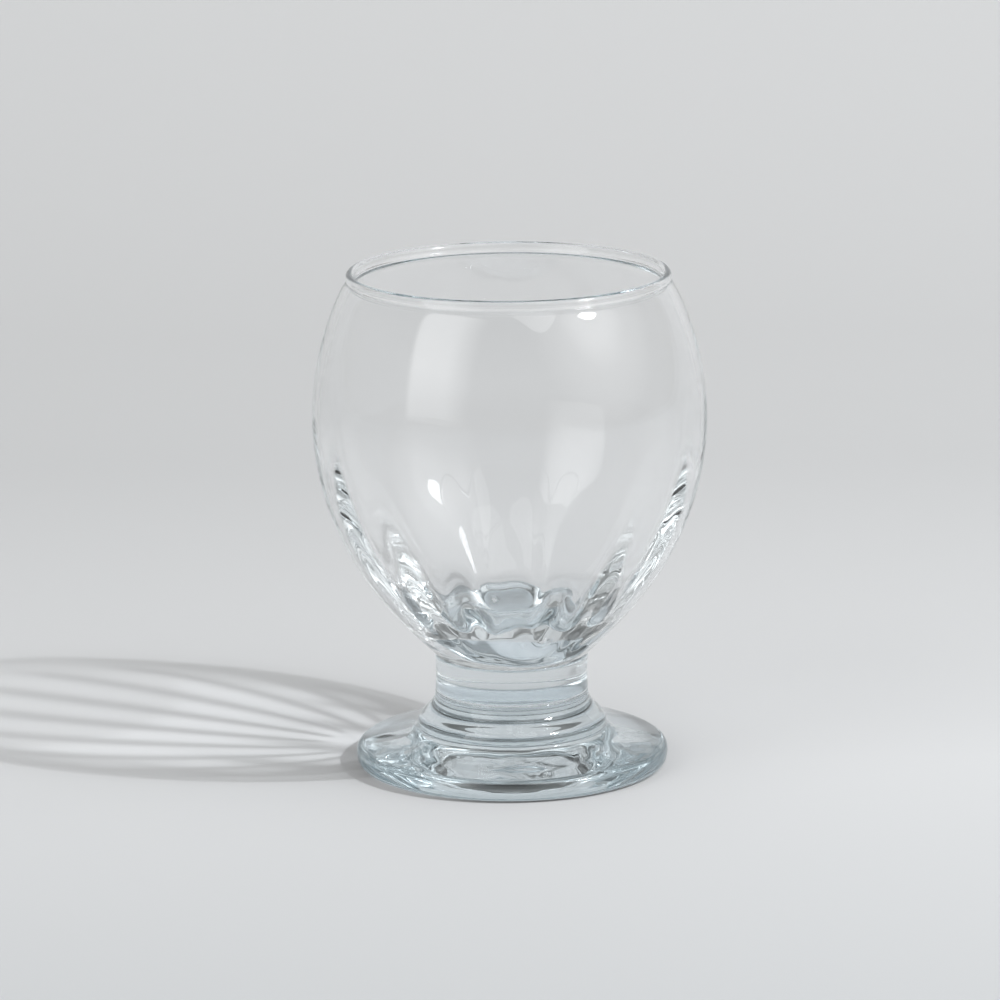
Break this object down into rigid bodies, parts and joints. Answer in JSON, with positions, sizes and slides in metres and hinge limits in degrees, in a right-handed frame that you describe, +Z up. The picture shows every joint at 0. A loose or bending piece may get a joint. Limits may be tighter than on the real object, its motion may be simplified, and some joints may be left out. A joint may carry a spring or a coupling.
{
  "type": "stemmed glass",
  "caption": "Clear drinking glass with a ball-shaped bowl, soft optic ribs inside, a beaded rim, a short thick stem and a stepped round foot.",
  "frame": {"origin": "centre of the foot's underside, on the surface the glass stands on", "axes": "+Z up along the axis of the glass, from the foot to the rim"},
  "size_m": [0.0886, 0.0886, 0.1131],
  "materials": {
    "clear_glass": "polished"
  },
  "bodies": {
    "root": {"bowl": "clear_glass", "stem": "clear_glass", "foot": "clear_glass"}
  },
  "joints": []
}
